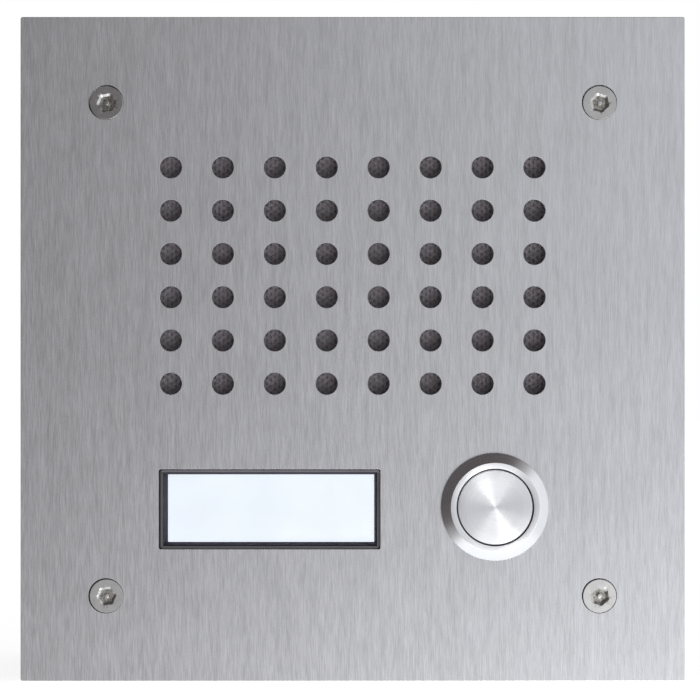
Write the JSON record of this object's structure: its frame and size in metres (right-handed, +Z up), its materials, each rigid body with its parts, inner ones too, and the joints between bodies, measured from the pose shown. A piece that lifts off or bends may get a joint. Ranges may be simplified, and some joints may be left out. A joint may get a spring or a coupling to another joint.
{
  "type": "door intercom panel",
  "caption": "Flush-mounted door intercom panel: square brushed steel plate with round sound holes, a lit name window and a round push button, on a box in the wall.",
  "frame": {"origin": "centre of the panel on the wall's surface, in the rear face of the wall seal", "axes": "+X to the right seen from the front, +Y into the wall, +Z up"},
  "size_m": [0.1536, 0.0535, 0.1536],
  "materials": {
    "brushed_plate": "fine vertical brushing",
    "turned_steel": "turned",
    "screw_steel": "satin",
    "zinc_steel": "zinc plated",
    "spring_steel": "bright wire",
    "black_basket": "satin",
    "black_mesh": "matte",
    "ferrite": "matte",
    "film": "translucent amber",
    "copper": "enamelled wire",
    "brass": "bright",
    "black_moulding": "satin",
    "clear_lens": "clear",
    "white_card": "matte",
    "white_diffuser": "matte",
    "green_laminate": "solder resist",
    "led_package": "gloss",
    "black_rubber": "matte",
    "black_foam": "cellular",
    "grey_box": "fine texture",
    "grey_insulator": "matte",
    "brown_insulator": "paper laminate",
    "capsule_can": "satin",
    "black_epoxy": "matte",
    "black_sleeve": "shrink sleeve",
    "white_nylon": "matte",
    "green_nylon": "satin",
    "blue_trimmer": "gloss"
  },
  "bodies": {
    "panel": {"front_plate": "brushed_plate", "wall_seal": "black_foam", "cover_screws": "screw_steel", "back_box": "grey_box", "box_inserts": "brass", "cable_grommet": "black_rubber", "weld_studs": "zinc_steel", "stud_nuts": "zinc_steel", "earth_stud": "zinc_steel", "earth_nuts": "brass", "grille_mesh": "black_mesh", "speaker_seal": "black_foam", "speaker_surround": "film", "speaker_basket": "black_basket", "speaker_terminal_strip": "brown_insulator", "speaker_tags": "brass", "speaker_top_plate": "zinc_steel", "speaker_magnet": "ferrite", "speaker_yoke": "zinc_steel", "speaker_bushes": "white_nylon", "microphone_capsule": "capsule_can", "microphone_boot": "black_rubber", "microphone_holder": "black_moulding", "nameplate_frame": "black_moulding", "nameplate_lens": "clear_lens", "name_label": "white_card", "label_diffuser": "white_diffuser", "backlight_leds": "led_package", "backlight_board": "green_laminate", "nameplate_back_cover": "black_moulding", "button_housing": "turned_steel", "button_seal": "black_rubber", "button_nut": "zinc_steel", "return_spring": "spring_steel", "contact_block": "grey_insulator", "contact_terminals": "brass", "board_standoffs": "zinc_steel", "main_board": "green_laminate", "board_screws": "zinc_steel", "terminal_block": "green_nylon", "terminal_screws": "zinc_steel", "amplifier_chip": "black_epoxy", "capacitors": "black_sleeve", "board_headers": "white_nylon", "volume_trimmer": "blue_trimmer", "microphone_trimmer": "blue_trimmer"},
    "call_button": {"button_cap": "turned_steel", "cap_seal": "black_rubber", "cap_clip": "spring_steel", "moving_contact": "brass"},
    "speaker_diaphragm": {"speaker_cone": "film", "speaker_dust_cap": "film", "speaker_voice_coil": "copper"},
    "volume_adjuster": {"volume_rotor": "white_nylon"},
    "microphone_adjuster": {"microphone_rotor": "white_nylon"}
  },
  "joints": [
    {"name": "button_press", "type": "slide", "parent": "panel", "child": "call_button", "axis": [0, 1, 0], "range_m": [0, 0.0018], "stiffness_N_per_m": 800, "springref_m": -0.001, "deforming": ["return_spring"]},
    {"name": "diaphragm_stroke", "type": "slide", "parent": "panel", "child": "speaker_diaphragm", "axis": [0, 1, 0], "range_m": [-0.0004, 0.0004], "stiffness_N_per_m": 200, "deforming": ["speaker_surround"]},
    {"name": "volume_turn", "type": "hinge", "parent": "panel", "child": "volume_adjuster", "pos_m": [0.036, 0.03, 0.032], "axis": [0, 1, 0], "range_deg": [-135, 135]},
    {"name": "microphone_turn", "type": "hinge", "parent": "panel", "child": "microphone_adjuster", "pos_m": [0.036, 0.03, 0.018], "axis": [0, 1, 0], "range_deg": [-135, 135]}
  ]
}
